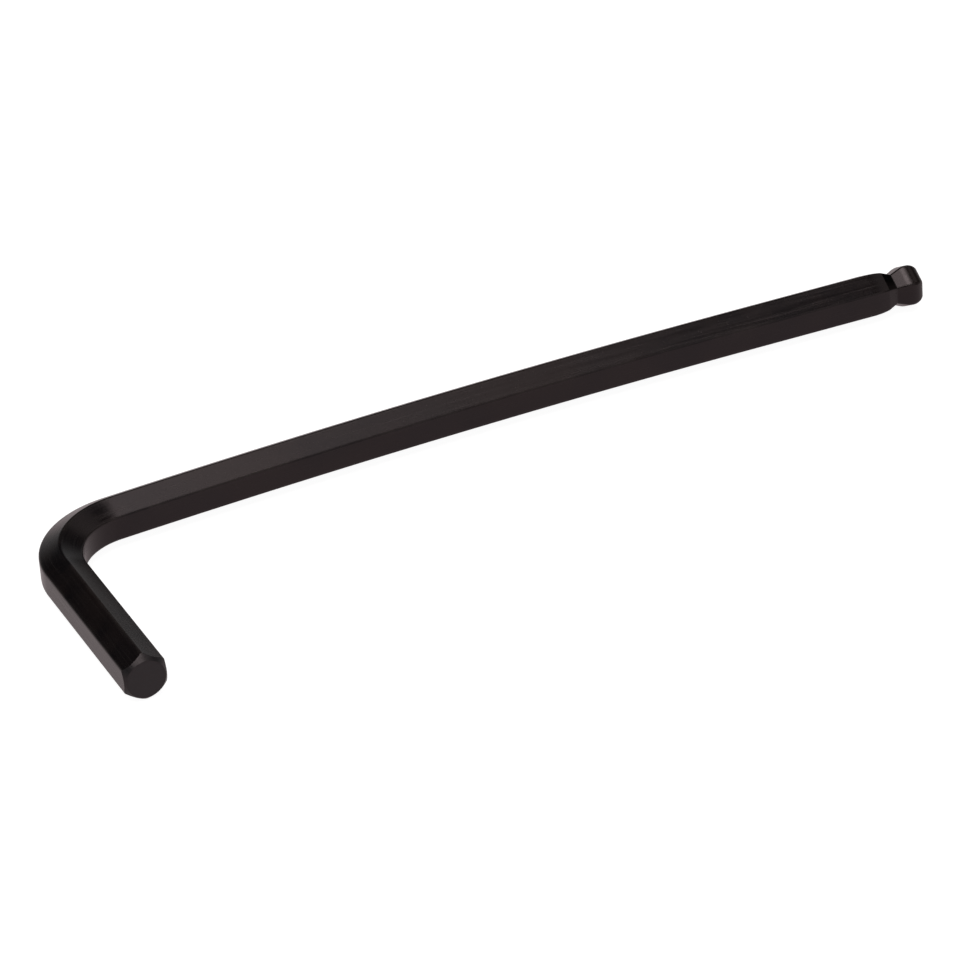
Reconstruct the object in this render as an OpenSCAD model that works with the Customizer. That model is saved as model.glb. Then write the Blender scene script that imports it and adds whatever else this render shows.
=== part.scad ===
// Hex key: one hexagonal steel bar, bent once, with a ball end on its long arm.
// It lies on one corner of the hexagon, with Z up, the long arm along X and the short arm along -Y.

/* [Bar] */
// Width across the flats of the hexagon
across_flats = 2.5; // [2.45:0.05:2.5]
// Width across the rounded corners, as a share of the sharp corner width
corner_share = 0.98; // [0.95:0.005:0.99]

/* [Arms] */
// Length of the long arm, from the outer face of the short arm to the tip
long_arm = 57.8; // [45:0.1:120]
// Length of the short arm, from the outer face of the long arm to its end
short_arm = 18.6; // [16:0.1:40]
// Radius of the bend at the centre of the bar
bend_radius = 4.85; // [3.6:0.05:7]
// Angle by which the long arm climbs where it leaves the bend
bend_lean = 3.45; // [0.5:0.05:5]
// Angle by which the long arm falls where it nears its tip
tip_lean = 1.95; // [0.5:0.05:5]
// Length of the straight stretch between the long arm's slight bow and the ball end
straight_run = 7.8; // [4:0.1:15]

/* [Short end] */
// Diameter of the flat face at the end of the short arm
end_face_dia = 2.4; // [1.2:0.05:2.4]
// Length of the turned chamfer round that face
end_chamfer = 0.25; // [0.1:0.05:0.8]

/* [Ball end] */
// Width across the flats of the ball
ball_flats = 2.4; // [2.38:0.01:2.44]
// Width across the turned corners of the ball
ball_corners = 2.7; // [2.66:0.01:2.76]
// Width across the flats of the neck
neck_flats = 2; // [1.99:0.01:2.06]
// Distance from the tip to the widest place of the ball
ball_back = 0.8; // [0.7:0.05:0.9]
// Distance from the widest place of the ball to the narrowest place of the neck
neck_back = 0.92; // [0.84:0.01:0.94]
// Radius of the hollow that forms the neck
neck_radius = 0.6; // [0.55:0.05:0.8]
// Distance from the narrowest place of the neck back to where the shoulder starts
shoulder_run = 1.64; // [1.6:0.02:1.7]
// Radius of the long rounded shoulder behind the neck
shoulder_radius = 5.6; // [5.2:0.1:6]

/* [Hidden] */
$fn = 96;

half_flats = across_flats / 2;
hex_radius = half_flats / cos(30);
round_radius = hex_radius * corner_share;
// More than the bar is wide, for the slabs that the ball end is cut from
spare = 2 * across_flats;
// Step between neighbouring stretches of the bar, far too small to see or feel
hair = 0.004;
// Length by which the short arm and the bow run into their neighbours
lap = 0.05;
// Length by which the straight stretch covers the start of the shoulder
cover = 0.3;

// The short arm's centre line and the bend's centre, with the bend starting at y = 0
short_x = half_flats;
bend_x = short_x + bend_radius;
bend_sweep = 90 - bend_lean;

// Where the bend ends and the long arm begins
joint_x = bend_x - bend_radius * cos(bend_sweep);
joint_y = bend_radius * sin(bend_sweep);

// The ball end's outline, measured back from the tip along x
ball_radius = ball_flats / 2;
ball_limit = ball_corners / 2;
neck_half = neck_flats / 2;
ball_x = -ball_back;
neck_x = ball_x - neck_back;
neck_y = neck_half + neck_radius;
shoulder_x = neck_x - shoulder_run;
shoulder_y = half_flats - shoulder_radius;
// Half width of the core, which the hollow of the neck cuts down to size
core_half = neck_half + lap;
// From here to the tip the corners are turned to a ball
limit_x = ball_x - ball_radius / 2;
// The ball end starts inside the straight stretch, where its shoulder has just begun to fall
end_length = shoulder_run + neck_back + ball_back;
start_x = shoulder_x + cover / 2;

// The long arm is a wide arc, then a straight stretch in line with the ball end
bow_sweep = bend_lean + tip_lean;
bow_end_x = long_arm - (straight_run + end_length) * cos(tip_lean);
bow_radius = (bow_end_x - joint_x) / (sin(bend_lean) + sin(tip_lean));
bow_end_y = joint_y + bow_radius * (cos(tip_lean) - cos(bend_lean));
lap_angle = asin(lap / bow_radius);
tip_y = bow_end_y - (straight_run + end_length) * sin(tip_lean);

// Reach of the key in the plane of the bend
top_y = joint_y + bow_radius * (1 - cos(bend_lean)) + half_flats;
short_length = short_arm - top_y;

// The chamfer's cone, carried on to the radius of the sharp corners
cone_slope = end_chamfer / (round_radius - end_face_dia / 2);
cone_length = cone_slope * (hex_radius - end_face_dia / 2);

// Section of the bar, a little grown where asked: flats face the inside and the outside of the bend
module bar_section(grown = 0) {
    intersection() {
        rotate(30) circle(r = hex_radius + grown, $fn = 6);
        circle(r = round_radius + grown);
    }
}

// Straight short arm with a conical chamfer round its flat end
module short_straight() {
    translate([short_x, 0, 0])
        rotate([90, 0, 0])
            intersection() {
                translate([0, 0, -lap])
                    linear_extrude(height = short_length + lap) bar_section();
                rotate_extrude()
                    polygon([
                        [0, -spare],
                        [hex_radius, -spare],
                        [hex_radius, short_length - cone_length],
                        [end_face_dia / 2, short_length],
                        [0, short_length]
                    ]);
            }
}

// The bend, turned about its own centre
module bend() {
    translate([bend_x, 0, 0])
        rotate_extrude(start = 180 - bend_sweep, angle = bend_sweep)
            translate([bend_radius, 0]) bar_section(hair);
}

// The long arm's slight bow, a wide arc of the same bar
module long_bow() {
    translate([joint_x, joint_y, 0])
        rotate([0, 0, bend_lean])
            translate([0, -bow_radius, 0])
                rotate_extrude(start = 90 - bow_sweep - lap_angle, angle = bow_sweep + 2 * lap_angle)
                    translate([bow_radius, 0]) bar_section();
}

// The straight stretch between the bow and the ball end
module long_straight() {
    translate([bow_end_x, bow_end_y, 0])
        rotate([0, 0, -tip_lean])
            rotate([90, 0, 90])
                linear_extrude(height = straight_run + cover) bar_section(hair);
}

// Outline of the ball end, seen square to a pair of flats
module end_outline() {
    difference() {
        union() {
            translate([start_x, -core_half]) square([ball_x - start_x, 2 * core_half]);
            intersection() {
                translate([shoulder_x, shoulder_y]) circle(r = shoulder_radius);
                translate([shoulder_x, -shoulder_y]) circle(r = shoulder_radius);
                translate([start_x, -half_flats]) square([neck_x - start_x, across_flats]);
            }
            intersection() {
                translate([ball_x, 0]) circle(r = ball_radius);
                translate([neck_x, -half_flats]) square([-neck_x, across_flats]);
            }
        }
        translate([neck_x, neck_y]) circle(r = neck_radius);
        translate([neck_x, -neck_y]) circle(r = neck_radius);
    }
}

// The ball end: the same outline cut across each of the three pairs of flats
module ball_end() {
    translate([long_arm, tip_y, 0])
        rotate([0, 0, -tip_lean])
            intersection() {
                end_slab(0);
                end_slab(60);
                end_slab(120);
                rotate([0, 90, 0])
                    rotate_extrude()
                        round_limit();
            }
}

// One pair of flats, turned about the bar's own axis
module end_slab(turn) {
    rotate([turn, 0, 0])
        translate([0, 0, -spare / 2])
            linear_extrude(height = spare) end_outline();
}

// Outline that the corners are turned down to, with the bar's axis along y and the tip at y = 0
module round_limit() {
    translate([0, -end_length]) square([round_radius, end_length + limit_x]);
    intersection() {
        translate([0, ball_x]) circle(r = ball_limit);
        translate([0, neck_x]) square([ball_limit, -neck_x]);
    }
}

module hex_key() {
    color([0.13, 0.12, 0.13])
        translate([-long_arm / 2, short_length - short_arm / 2, round_radius + hair])
            union() {
                short_straight();
                bend();
                long_bow();
                long_straight();
                ball_end();
            }
}

hex_key();
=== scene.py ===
import math
from collections import namedtuple

import bmesh
import bpy
from mathutils import Matrix, Vector


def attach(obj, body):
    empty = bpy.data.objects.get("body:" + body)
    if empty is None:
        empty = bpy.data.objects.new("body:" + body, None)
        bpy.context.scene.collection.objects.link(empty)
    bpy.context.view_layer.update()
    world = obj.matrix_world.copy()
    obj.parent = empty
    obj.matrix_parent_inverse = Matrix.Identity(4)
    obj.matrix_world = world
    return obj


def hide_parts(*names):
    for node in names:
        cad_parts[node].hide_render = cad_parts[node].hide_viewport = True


# One hex key of black-oxide steel on a plain white ground, seen from the photograph's viewpoint.
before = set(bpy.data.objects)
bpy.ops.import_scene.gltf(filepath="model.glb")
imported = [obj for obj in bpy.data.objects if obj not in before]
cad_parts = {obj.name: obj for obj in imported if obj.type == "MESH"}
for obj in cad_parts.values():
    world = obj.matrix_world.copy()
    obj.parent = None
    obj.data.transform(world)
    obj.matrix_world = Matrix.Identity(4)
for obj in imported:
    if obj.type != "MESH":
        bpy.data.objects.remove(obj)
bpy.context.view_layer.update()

MM = 0.001

# Camera, in the part's own frame
CAMERA_PLACE = Vector((-103.04, -236.94, 154.01)) * MM
CAMERA_RIGHT = Vector((0.90400, -0.42242, -0.06589))
CAMERA_UP = Vector((0.26775, 0.43923, 0.85755))
SENSOR_WIDTH = 36.0
LENS = 197.52
CLIP_START = 0.01
CLIP_END = 10.0

# Floor, in metres: its grey takes the shadow, and its own glow for the camera and for reflections
# comes on top. The lamps add the rest of its white.
WHITE = (1.0, 1.0, 1.0, 1.0)
FLOOR_SIZE = 3.0
FLOOR_GREY = (0.3, 0.3, 0.3, 1.0)
FLOOR_GLOW = 0.95
FLOOR_GLOW_GLOSSY = 0.41
FLOOR_GLOSSY_TINT = (1.0, 0.84, 0.86, 1.0)

# The room's light: the upward part of a ray's direction where the light starts to fade and where
# it stops, and its strength at each
ROOM_LIGHT = (0.05, 0.4, 0.3, 0.02)

# Softboxes: name, middle, aim and size in millimetres, and radiance
SOFTBOXES = (
    ("overhead", (6.0, 0.0, 500.0), (6.0, 0.0, 0.0), (338.0, 300.0), 1.5),
    ("core", (-2.0, 0.0, 499.0), (-2.0, 0.0, 0.0), (195.0, 150.0), 3.0),
    ("left", (-306.0, 0.0, 500.0), (-306.0, 0.0, 0.0), (287.0, 300.0), 1.6),
    ("right", (480.0, 100.0, 500.0), (480.0, 100.0, 0.0), (340.0, 500.0), 0.3),
    ("front", (-140.0, -270.0, 500.0), (-140.0, -270.0, 0.0), (500.0, 105.0), 4.0),
    ("front_right", (300.0, -285.0, 500.0), (300.0, -285.0, 0.0), (380.0, 230.0), 0.35),
    ("front_low", (100.0, -700.0, 420.0), (0.0, 0.0, 0.0), (900.0, 500.0), 0.35),
)
SOFTBOX_COLOUR = (1.0, 0.96, 0.94)

# Sizes of the bar, in millimetres, as in the part's source
ACROSS_FLATS = 2.5
CORNER_SHARE = 0.98
LONG_ARM = 57.8
SHORT_ARM = 18.6
BEND_RADIUS = 4.85
BEND_LEAN = math.radians(3.45)
TIP_LEAN = math.radians(1.95)
STRAIGHT_RUN = 7.8
END_FACE_RADIUS = 1.2
END_CHAMFER = 0.25
BALL_RADIUS = 1.2
BALL_CORNER_RADIUS = 1.35
BALL_BACK = 0.8
NECK_BACK = 0.92
SHOULDER_RUN = 1.64
SHOULDER_RADIUS = 5.6
# Height that the source leaves under the bar's lowest corner
LIFT = 0.004
# Radius that rounds the hexagon's corners, in place of the source's turned corners
CORNER_ROUNDING = 0.17
# The turned chamfer as seen: a slightly smaller face, a little below the bar's centre
SEEN_FACE_RADIUS = 1.14
CHAMFER_OFF_CENTRE = 0.06
# Distance from the end face to the first plain section behind the chamfer
CHAMFER_RUN = 0.45
# The ball's flats in profile, back from the tip: half width of the tip, widest place, round top,
# cone down to the neck's crease, and wall up to the shoulder
TIP_HALF = 0.894
WIDEST_BACK = 0.68
CONE_SLOPE = math.radians(22.0)
CREASE_BACK = 1.66
WALL_BACK = 2.3

HALF_FLATS = ACROSS_FLATS / 2
# Angle from the middle of a flat to its corner
FLAT_TO_CORNER = math.pi / 6
ROUND_RADIUS = HALF_FLATS / math.cos(FLAT_TO_CORNER) * CORNER_SHARE
END_LENGTH = SHOULDER_RUN + NECK_BACK + BALL_BACK
# Distance back from the tip from which the corners are turned to a ball
TURNED_BACK = BALL_BACK + BALL_RADIUS / 2

# How finely the bar is divided, and the exponent that crowds its points near the corners
FLAT_STEPS = 20
CORNER_CROWDING = 1.7
SHORT_STEPS = 40
BEND_STEPS = 72
BOW_STEPS = 100
STRAIGHT_STEPS = 30
BALL_STEPS = 110
CHAMFER_STEPS = 8
CAP_RINGS = 8
# Edges that turn by more than this stay sharp
SHARP_ANGLE = math.radians(24.0)

# Masks: the share of the way from a flat's middle to its corner where wear starts, the wear at the
# corner, and the length over which the painted sheen on the tip's rim fades
CORNER_START = 0.78
CORNER_WEAR = 0.3
TIP_SHEEN_LENGTH = 0.3
# The length over which the painted shade in the neck's hollow fades at both ends, the sine of the
# turn round the bar where it starts, and how fast it deepens from there towards the top
HOLLOW_EDGE = 0.04
HOLLOW_START = 0.4
HOLLOW_GAIN = 2.0
# How much of the end faces' cut grey the chamfer has
CHAMFER_CUT = 0.6

# Steel: its colours
BLUE_BLACK = (0.0028, 0.0024, 0.0034, 1.0)
BROWN_BLACK = (0.0095, 0.0068, 0.0068, 1.0)
PATCH_BROWN = (0.0135, 0.0088, 0.0078, 1.0)
LINE_BROWN = (0.012, 0.0095, 0.009, 1.0)
# Worn corners, and the painted sheen on the tip's rim
WEAR_AND_SHEEN_BROWN = (0.05, 0.042, 0.04, 1.0)
CUT_GREY = (0.03, 0.029, 0.031, 1.0)
# Painted shade in the neck's hollow
HOLLOW_SHADE_BLACK = (0.0004, 0.0004, 0.0004, 1.0)
SPECULAR_TINT = (1.0, 0.87, 0.9, 1.0)
IOR = 1.45
# Scale of the drawn lines along the bar and round it, per millimetre
DRAWN_LINES = (0.15, 7.0, 1.0)
# Noises: scale, detail and roughness, with the scale per metre except for the lines
LINE_NOISE = (1.0, 3.0, 0.6)
MOTTLE_NOISE = (420.0, 4.0, 0.6)
PATCH_NOISE = (110.0, 1.0, 0.5)
PIT_NOISE = (9000.0, 2.0, 0.5)
# What the noises are made into: two values of a noise, and the two that they are mapped to
LINES = (0.45, 0.75, 0.0, 0.5)
MOTTLE = (0.3, 0.7, 0.0, 1.0)
PATCHES = (0.5, 0.68, 0.0, 0.8)
PITS = (0.22, 0.34, 1.0, 0.0)
BROKEN_WEAR = (0.35, 0.65, 0.15, 1.0)
ROUGHNESS = (0.3, 0.7, 0.18, 0.28)
# Roughness that the pits and the cut ends add, and that the hollow takes away
PIT_ROUGHNESS = 0.08
CUT_ROUGHNESS = 0.15
HOLLOW_ROUGHNESS = 0.08
# Relief: the lines' height as a share of the pits' depth, its strength, and its depth in metres
LINE_HEIGHT = 0.5
RELIEF_STRENGTH = 0.08
RELIEF_DEPTH = 0.00002

# A section of the bar: its place, the direction to the outside of the bend, the distance from the
# short end, the share of the way over the chamfer, which is None past it, and the distance back
# from the tip, which is None before the long arm's straight stretch
Station = namedtuple("Station", "place normal travelled chamfer_share tip_back")


def bar_path():
    """Stations from the short end to the tip, and the shift that takes them to the part's frame."""
    upward = math.pi / 2
    sin, cos = math.sin(BEND_LEAN), math.cos(BEND_LEAN)
    tip_sin, tip_cos = math.sin(TIP_LEAN), math.cos(TIP_LEAN)
    joint_x = HALF_FLATS + BEND_RADIUS - BEND_RADIUS * sin
    joint_y = BEND_RADIUS * cos
    bow_end_x = LONG_ARM - (STRAIGHT_RUN + END_LENGTH) * tip_cos
    bow_radius = (bow_end_x - joint_x) / (sin + tip_sin)
    bow_end_y = joint_y + bow_radius * (tip_cos - cos)
    short_length = SHORT_ARM - (joint_y + bow_radius * (1 - cos) + HALF_FLATS)
    stations = []

    def add(x, y, heading, travelled, chamfer_share=None, tip_back=None):
        normal = Vector((-math.sin(heading), math.cos(heading), 0.0))
        place = Vector((x, y, 0.0))
        stations.append(Station(place, normal, travelled, chamfer_share, tip_back))

    for i in range(CHAMFER_STEPS + 1):
        travelled = CHAMFER_RUN * i / (CHAMFER_STEPS + 1)
        add(HALF_FLATS, -short_length, upward, travelled, chamfer_share=i / CHAMFER_STEPS)
    for i in range(SHORT_STEPS):
        travelled = CHAMFER_RUN + (short_length - CHAMFER_RUN) * i / SHORT_STEPS
        add(HALF_FLATS, travelled - short_length, upward, travelled)

    bend_sweep = upward - BEND_LEAN
    for i in range(BEND_STEPS):
        turned = bend_sweep * i / BEND_STEPS
        x = HALF_FLATS + BEND_RADIUS - BEND_RADIUS * math.cos(turned)
        y = BEND_RADIUS * math.sin(turned)
        add(x, y, upward - turned, short_length + BEND_RADIUS * turned)

    bent = short_length + BEND_RADIUS * bend_sweep
    bow_sweep = BEND_LEAN + TIP_LEAN
    for i in range(BOW_STEPS):
        turned = bow_sweep * i / BOW_STEPS
        heading = BEND_LEAN - turned
        x = joint_x + bow_radius * (sin - math.sin(heading))
        y = joint_y + bow_radius * (math.cos(heading) - cos)
        add(x, y, heading, bent + bow_radius * turned)

    bowed = bent + bow_radius * bow_sweep
    straight = [STRAIGHT_RUN * i / STRAIGHT_STEPS for i in range(STRAIGHT_STEPS)]
    ball_end = [STRAIGHT_RUN + END_LENGTH * i / BALL_STEPS for i in range(BALL_STEPS + 1)]
    for along in straight + ball_end:
        x, y = bow_end_x + along * tip_cos, bow_end_y - along * tip_sin
        back = STRAIGHT_RUN + END_LENGTH - along
        add(x, y, -TIP_LEAN, bowed + along, tip_back=back)
    shift = Vector((-LONG_ARM / 2, short_length - SHORT_ARM / 2, ROUND_RADIUS + LIFT))
    return stations, shift


def shoulder_half(back):
    """Half the width across the flats on the shoulder, at a distance back from the tip."""
    ahead = END_LENGTH - back
    return HALF_FLATS - SHOULDER_RADIUS + math.sqrt(SHOULDER_RADIUS ** 2 - ahead ** 2)


def ball_end_half(back):
    """Half the width across the flats at a distance back from the tip."""
    if back >= END_LENGTH:
        return HALF_FLATS
    if back >= WALL_BACK:
        return shoulder_half(back)
    if back <= WIDEST_BACK:
        drop = BALL_RADIUS - TIP_HALF
        front_radius = (WIDEST_BACK ** 2 + drop ** 2) / (2 * drop)
        off = WIDEST_BACK - back
        return BALL_RADIUS - front_radius + math.sqrt(front_radius ** 2 - off ** 2)
    cone_back = WIDEST_BACK + BALL_RADIUS * math.sin(CONE_SLOPE)
    if back <= cone_back:
        return math.sqrt(BALL_RADIUS ** 2 - (back - WIDEST_BACK) ** 2)
    cone_half = BALL_RADIUS * math.cos(CONE_SLOPE)
    if back <= CREASE_BACK:
        return cone_half - (back - cone_back) * math.tan(CONE_SLOPE)
    crease_half = cone_half - (CREASE_BACK - cone_back) * math.tan(CONE_SLOPE)
    share = (back - CREASE_BACK) / (WALL_BACK - CREASE_BACK)
    return crease_half + share * (shoulder_half(WALL_BACK) - crease_half)


def flat_angles():
    """Angles round the section, closer together near the corners."""
    angles = []
    for flat in range(6):
        for i in range(FLAT_STEPS):
            across = 2 * i / FLAT_STEPS - 1
            share = math.copysign(1 - (1 - abs(across)) ** CORNER_CROWDING, across)
            angles.append(FLAT_TO_CORNER * (2 * flat + share))
    return angles


def off_flat(angle):
    """Angle from the middle of the nearest flat, never negative."""
    return abs((angle + FLAT_TO_CORNER) % (2 * FLAT_TO_CORNER) - FLAT_TO_CORNER)


def section_radius(angle, half):
    """Distance from the centre to a hexagon with rounded corners, given half its width."""
    off_middle = off_flat(angle)
    inner = half - CORNER_ROUNDING
    if math.tan(off_middle) * half <= inner * math.tan(FLAT_TO_CORNER):
        return half / math.cos(off_middle)
    reach = inner / math.cos(FLAT_TO_CORNER)
    off_corner = FLAT_TO_CORNER - off_middle
    aside = reach * math.sin(off_corner)
    return reach * math.cos(off_corner) + math.sqrt(max(CORNER_ROUNDING ** 2 - aside ** 2, 0.0))


def ring_radius(angle, tip_back):
    """The section's radius, with the neck and the ball worked in where it lies near the tip."""
    if tip_back is None:
        return section_radius(angle, HALF_FLATS)
    radius = section_radius(angle, ball_end_half(tip_back))
    if tip_back < TURNED_BACK:
        from_ball = tip_back - BALL_BACK
        radius = min(radius, math.sqrt(BALL_CORNER_RADIUS ** 2 - from_ball ** 2))
    return radius


def chamfer_point(angle, share):
    """Radius and distance back from the end face, at a share of the way over the chamfer."""
    slope = (ROUND_RADIUS - END_FACE_RADIUS) / END_CHAMFER
    rise = CHAMFER_OFF_CENTRE * math.sin(angle)
    aside = CHAMFER_OFF_CENTRE * math.cos(angle)
    edge = section_radius(angle, HALF_FLATS)
    back = share * (math.hypot(edge + rise, aside) - SEEN_FACE_RADIUS) / slope
    return math.sqrt((SEEN_FACE_RADIUS + slope * back) ** 2 - aside ** 2) - rise, back


def ring_points(station, angles, shift):
    """The section's points at a station, in metres."""
    ring = []
    for angle in angles:
        if station.chamfer_share is None:
            radius, back = ring_radius(angle, station.tip_back), 0.0
        else:
            radius, back = chamfer_point(angle, station.chamfer_share)
        out = station.normal * math.cos(angle) + Vector((0.0, 0.0, math.sin(angle)))
        ring.append((station.place + shift + out * radius + Vector((0.0, back, 0.0))) * MM)
    return ring


def add_cap(points, faces, first, count, reverse):
    """Closes the ring that begins at the first point with smaller rings and a middle point."""
    rim = points[first:first + count]
    middle = sum(rim, Vector()) / count
    last = first
    for ring in range(1, CAP_RINGS):
        share = 1 - ring / CAP_RINGS
        start = len(points)
        points.extend(middle + (point - middle) * share for point in rim)
        for i in range(count):
            j = (i + 1) % count
            quad = (last + i, last + j, start + j, start + i)
            faces.append(quad[::-1] if reverse else quad)
        last = start
    points.append(middle)
    for i in range(count):
        corner = (last + i, last + (i + 1) % count, len(points) - 1)
        faces.append(corner[::-1] if reverse else corner)


def make_key():
    """The whole key as one closed mesh, swept along its path: the sides first, then both caps."""
    stations, shift = bar_path()
    angles = flat_angles()
    count = len(angles)
    last_ring = (len(stations) - 1) * count
    points = []
    for station in stations:
        points.extend(ring_points(station, angles, shift))
    faces = []
    for a in range(0, last_ring, count):
        b = a + count
        for i in range(count):
            j = (i + 1) % count
            faces.append((a + i, b + i, b + j, a + j))
    add_cap(points, faces, 0, count, reverse=False)
    add_cap(points, faces, last_ring, count, reverse=True)
    mesh = bpy.data.meshes.new("key_bar")
    mesh.from_pydata(points, [], faces)
    mesh.update()
    write_uvs(mesh, stations, angles)
    write_masks(mesh, stations, angles)
    return new_object("key_bar", mesh)


def write_uvs(mesh, stations, angles):
    """UVs in millimetres: along the bar and round it, and x and z on the caps."""
    layer = mesh.uv_layers.new(name="bar")
    count = len(angles)
    side_faces = (len(stations) - 1) * count
    for polygon in mesh.polygons:
        closes_ring = polygon.index % count == count - 1
        for loop in polygon.loop_indices:
            vertex = mesh.loops[loop].vertex_index
            if polygon.index < side_faces:
                ring, i = divmod(vertex, count)
                turn = angles[i]
                if closes_ring and i == 0:
                    turn += 2 * math.pi
                layer.data[loop].uv = (stations[ring].travelled, turn * HALF_FLATS)
            else:
                at = mesh.vertices[vertex].co / MM
                layer.data[loop].uv = (at.x, at.z)


def held(value):
    """A value kept between 0 and 1."""
    return min(max(value, 0.0), 1.0)


def station_masks(station):
    """The chamfer's cut, the tip rim's painted sheen and the depth of the hollow's painted shade at
    a station.
    """
    on_chamfer = station.chamfer_share is not None and station.chamfer_share < 1.0
    cut = CHAMFER_CUT if on_chamfer else 0.0
    back = station.tip_back
    if back is None:
        return cut, 0.0, 0.0
    # Painted shade in the neck's hollow, fading in at both ends
    shade_depth = held((back - CREASE_BACK) / HOLLOW_EDGE) * held((WALL_BACK - back) / HOLLOW_EDGE)
    # The middle value is a painted sheen on the tip's rim, fading back from the tip
    return cut, held(1.0 - back / TIP_SHEEN_LENGTH), shade_depth


def write_masks(mesh, stations, angles):
    """Masks from 0 to 1 on the points: worn corners with the tip rim's painted sheen, the neck's
    hollow of painted shade, cut ends.
    """
    corner, hollow, ends = [], [], []
    for station in stations:
        cut, rim, shade_depth = station_masks(station)
        for angle in angles:
            past = off_flat(angle) / FLAT_TO_CORNER - CORNER_START
            # Worn corners, with the tip rim's painted sheen carried in the same mask
            corner.append(max(CORNER_WEAR * max(0.0, past) / (1.0 - CORNER_START), rim))
            # Painted shade on the upper faces of the neck's hollow
            hollow.append(shade_depth * held(HOLLOW_GAIN * (math.sin(angle) - HOLLOW_START)))
            ends.append(cut)
    on_caps = len(mesh.vertices) - len(ends)
    masks = (("corner", corner, 0.0), ("hollow", hollow, 0.0), ("ends", ends, 1.0))
    for name, values, on_cap in masks:
        attribute = mesh.attributes.new(name=name, type="FLOAT", domain="POINT")
        attribute.data.foreach_set("value", values + [on_cap] * on_caps)


def shade_key(key):
    """Smooth shading, with sharp edges where the faces turn sharply."""
    for polygon in key.data.polygons:
        polygon.use_smooth = True
    shape = bmesh.new()
    shape.from_mesh(key.data)
    for edge in shape.edges:
        edge.smooth = not (len(edge.link_faces) == 2 and edge.calc_face_angle(0.0) > SHARP_ANGLE)
    shape.normal_update()
    shape.to_mesh(key.data)
    shape.free()


def new_object(name, data):
    """An object in the scene, made of the given data."""
    made = bpy.data.objects.new(name, data)
    bpy.context.scene.collection.objects.link(made)
    return made


def add_camera():
    """The camera at the photograph's place, turn and long focal length."""
    data = bpy.data.cameras.new("camera")
    data.sensor_width = SENSOR_WIDTH
    data.lens = LENS
    data.clip_start = CLIP_START
    data.clip_end = CLIP_END
    camera = new_object("camera", data)
    back = CAMERA_RIGHT.cross(CAMERA_UP)
    turn = Matrix((CAMERA_RIGHT, CAMERA_UP, back)).transposed()
    camera.matrix_world = Matrix.Translation(CAMERA_PLACE) @ turn.to_4x4()
    bpy.context.scene.camera = camera


def clear_tree(owner):
    """The cleared node tree of a material or world."""
    owner.use_nodes = True
    owner.node_tree.nodes.clear()
    return owner.node_tree


def new_node(tree, kind, **settings):
    """A node with settings for its properties."""
    node = tree.nodes.new(kind)
    for name, value in settings.items():
        setattr(node, name, value)
    return node


def set_inputs(node, values):
    """Constants for a node's inputs, by their names."""
    for name, value in values.items():
        node.inputs[name].default_value = value


def combine(tree, operation, a, b):
    """Two values, of which the second may be a number, put together."""
    node = new_node(tree, "ShaderNodeMath", operation=operation)
    tree.links.new(a, node.inputs[0])
    if isinstance(b, float):
        node.inputs[1].default_value = b
    else:
        tree.links.new(b, node.inputs[1])
    return node.outputs[0]


def blend(tree, share, first, second):
    """A colour between two, of which each is a colour or a socket."""
    node = new_node(tree, "ShaderNodeMix", data_type="RGBA")
    tree.links.new(share, node.inputs["Factor"])
    for name, colour in (("A", first), ("B", second)):
        socket = [s for s in node.inputs if s.name == name and s.type == "RGBA"][0]
        if isinstance(colour, tuple):
            socket.default_value = colour
        else:
            tree.links.new(colour, socket)
    return [s for s in node.outputs if s.type == "RGBA"][0]


def spread(tree, value, ranges):
    """A value mapped smoothly from one range to another, and held there."""
    node = new_node(tree, "ShaderNodeMapRange", interpolation_type="SMOOTHSTEP")
    set_inputs(node, dict(zip(("From Min", "From Max", "To Min", "To Max"), ranges)))
    tree.links.new(value, node.inputs["Value"])
    return node.outputs["Result"]


def noise(tree, vector, settings):
    """A noise texture's value over the given coordinates."""
    node = new_node(tree, "ShaderNodeTexNoise")
    set_inputs(node, dict(zip(("Scale", "Detail", "Roughness"), settings)))
    tree.links.new(vector, node.inputs["Vector"])
    return node.outputs["Fac"]


def mask(tree, name):
    """One of the mesh's own masks."""
    return new_node(tree, "ShaderNodeAttribute", attribute_name=name).outputs["Fac"]


def rays(tree):
    """Two sockets: one for camera and see-through rays, and one for reflected rays."""
    path = new_node(tree, "ShaderNodeLightPath").outputs
    seen = combine(tree, "MAXIMUM", path["Is Camera Ray"], path["Is Transmission Ray"])
    return seen, path["Is Glossy Ray"]


def floor_white():
    """Grey that takes the shadow, with a glow to the camera and a weaker one in reflections."""
    material = bpy.data.materials.new("floor_white")
    tree = clear_tree(material)
    output = new_node(tree, "ShaderNodeOutputMaterial")
    diffuse = new_node(tree, "ShaderNodeBsdfDiffuse")
    diffuse.inputs["Color"].default_value = FLOOR_GREY
    glow = new_node(tree, "ShaderNodeEmission")
    seen, reflected = rays(tree)
    tree.links.new(blend(tree, reflected, WHITE, FLOOR_GLOSSY_TINT), glow.inputs["Color"])
    mirrored = combine(tree, "MULTIPLY", reflected, FLOOR_GLOW_GLOSSY)
    strength = combine(tree, "ADD", combine(tree, "MULTIPLY", seen, FLOOR_GLOW), mirrored)
    tree.links.new(strength, glow.inputs["Strength"])
    both = new_node(tree, "ShaderNodeAddShader")
    tree.links.new(diffuse.outputs[0], both.inputs[0])
    tree.links.new(glow.outputs[0], both.inputs[1])
    tree.links.new(both.outputs[0], output.inputs["Surface"])
    return material


def add_floor():
    """A wide white floor that reflections see too, and that keeps a faint shadow."""
    half = FLOOR_SIZE / 2
    corners = [(-half, -half, 0), (half, -half, 0), (half, half, 0), (-half, half, 0)]
    mesh = bpy.data.meshes.new("floor")
    mesh.from_pydata(corners, [], [(0, 1, 2, 3)])
    mesh.materials.append(floor_white())
    floor = new_object("floor", mesh)


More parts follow.
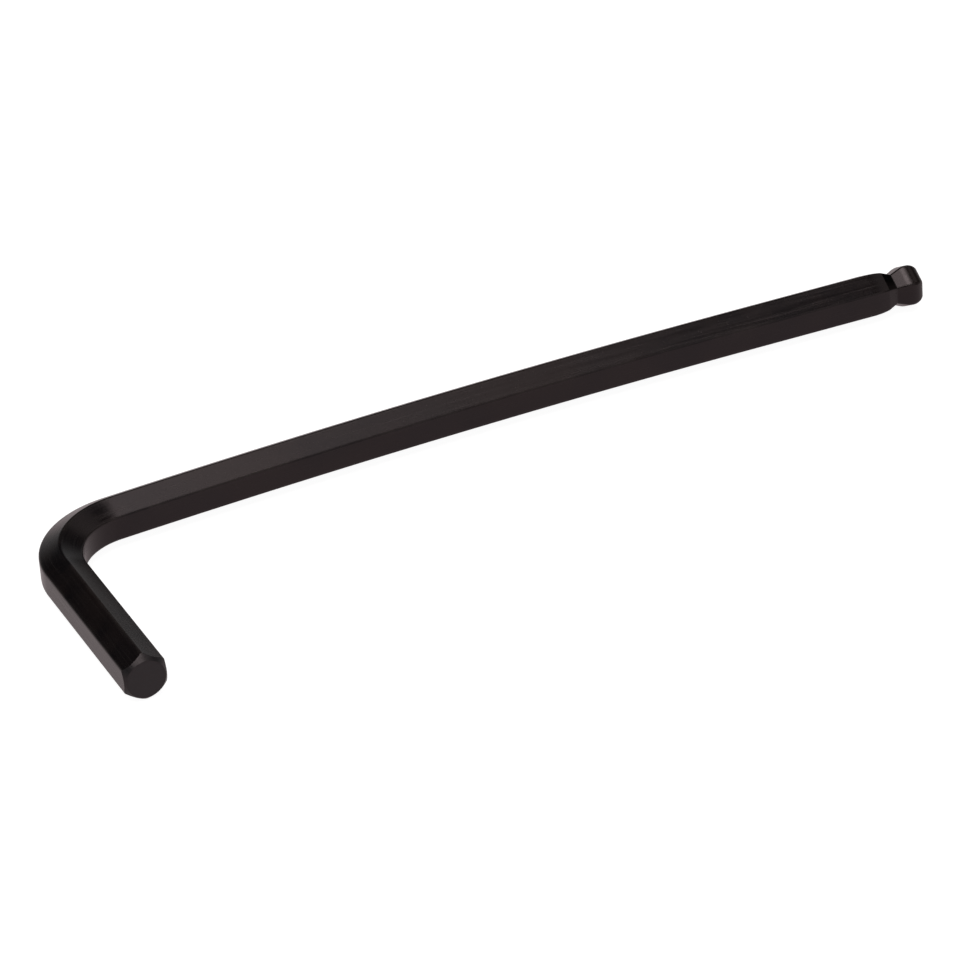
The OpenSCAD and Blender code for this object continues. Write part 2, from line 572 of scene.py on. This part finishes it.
def add_world():
    """Soft light from all round, brighter at the horizon, and white to the camera."""
    world = bpy.data.worlds.new("studio")
    bpy.context.scene.world = world
    tree = clear_tree(world)
    output = new_node(tree, "ShaderNodeOutputWorld")
    direction = new_node(tree, "ShaderNodeTexCoord").outputs["Generated"]
    split = new_node(tree, "ShaderNodeSeparateXYZ")
    tree.links.new(direction, split.inputs[0])
    soft = new_node(tree, "ShaderNodeBackground")
    soft.inputs["Color"].default_value = WHITE
    tree.links.new(spread(tree, split.outputs["Z"], ROOM_LIGHT), soft.inputs["Strength"])
    white = new_node(tree, "ShaderNodeBackground")
    white.inputs["Color"].default_value = WHITE
    mix = new_node(tree, "ShaderNodeMixShader")
    tree.links.new(rays(tree)[0], mix.inputs[0])
    tree.links.new(soft.outputs[0], mix.inputs[1])
    tree.links.new(white.outputs[0], mix.inputs[2])
    tree.links.new(mix.outputs[0], output.inputs["Surface"])


def add_softboxes():
    """Rectangular lamps, given by the brightness of their surface."""
    for name, place, aim, size, radiance in SOFTBOXES:
        data = bpy.data.lights.new(name, "AREA")
        data.shape = "RECTANGLE"
        data.size, data.size_y = (side * MM for side in size)
        data.energy = math.pi * radiance * data.size * data.size_y
        data.color = SOFTBOX_COLOUR
        lamp = new_object(name, data)
        lamp.location = Vector(place) * MM
        toward = Vector(aim) - Vector(place)
        lamp.rotation_euler = toward.to_track_quat("-Z", "Y").to_euler()


def black_steel():
    """Black oxide on drawn steel: dark and satin, with lines, mottling, pits, worn corners, painted
    sheen on the tip's rim and painted shade in the neck's hollow.
    """
    material = bpy.data.materials.new("black_oxide")
    tree = clear_tree(material)
    output = new_node(tree, "ShaderNodeOutputMaterial")
    skin = new_node(tree, "ShaderNodeBsdfPrincipled")
    tree.links.new(skin.outputs[0], output.inputs["Surface"])
    bar_uv = new_node(tree, "ShaderNodeUVMap", uv_map="bar").outputs[0]
    along = new_node(tree, "ShaderNodeMapping")
    tree.links.new(bar_uv, along.inputs["Vector"])
    along.inputs["Scale"].default_value = DRAWN_LINES
    place = new_node(tree, "ShaderNodeTexCoord").outputs["Object"]
    lines = noise(tree, along.outputs[0], LINE_NOISE)
    mottle = noise(tree, place, MOTTLE_NOISE)
    patches = noise(tree, place, PATCH_NOISE)
    pits = spread(tree, noise(tree, place, PIT_NOISE), PITS)
    corner, hollow, ends = mask(tree, "corner"), mask(tree, "hollow"), mask(tree, "ends")

    # Worn corners, together with the painted sheen on the tip's rim
    wear_and_sheen = combine(tree, "MULTIPLY", corner, spread(tree, mottle, BROKEN_WEAR))
    colour = blend(tree, spread(tree, mottle, MOTTLE), BLUE_BLACK, BROWN_BLACK)
    colour = blend(tree, spread(tree, patches, PATCHES), colour, PATCH_BROWN)
    colour = blend(tree, spread(tree, lines, LINES), colour, LINE_BROWN)
    colour = blend(tree, wear_and_sheen, colour, WEAR_AND_SHEEN_BROWN)
    colour = blend(tree, ends, colour, CUT_GREY)
    # Painted shade in the neck's hollow
    colour = blend(tree, hollow, colour, HOLLOW_SHADE_BLACK)
    tree.links.new(colour, skin.inputs["Base Color"])

    rough = spread(tree, lines, ROUGHNESS)
    for operation, where, amount in (
        ("ADD", pits, PIT_ROUGHNESS),
        ("ADD", ends, CUT_ROUGHNESS),
        ("SUBTRACT", hollow, HOLLOW_ROUGHNESS),
    ):
        rough = combine(tree, operation, rough, combine(tree, "MULTIPLY", where, amount))
    tree.links.new(rough, skin.inputs["Roughness"])

    height = combine(tree, "SUBTRACT", combine(tree, "MULTIPLY", lines, LINE_HEIGHT), pits)
    relief = new_node(tree, "ShaderNodeBump")
    set_inputs(relief, {"Strength": RELIEF_STRENGTH, "Distance": RELIEF_DEPTH})
    tree.links.new(height, relief.inputs["Height"])
    tree.links.new(relief.outputs[0], skin.inputs["Normal"])

    set_inputs(skin, {"IOR": IOR, "Specular Tint": SPECULAR_TINT})
    return material


scene = bpy.context.scene
scene.view_settings.view_transform = "Standard"
add_camera()
add_floor()
add_world()
add_softboxes()

key = make_key()
shade_key(key)
key.data.materials.append(black_steel())
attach(key, "root")
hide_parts("hex_key")
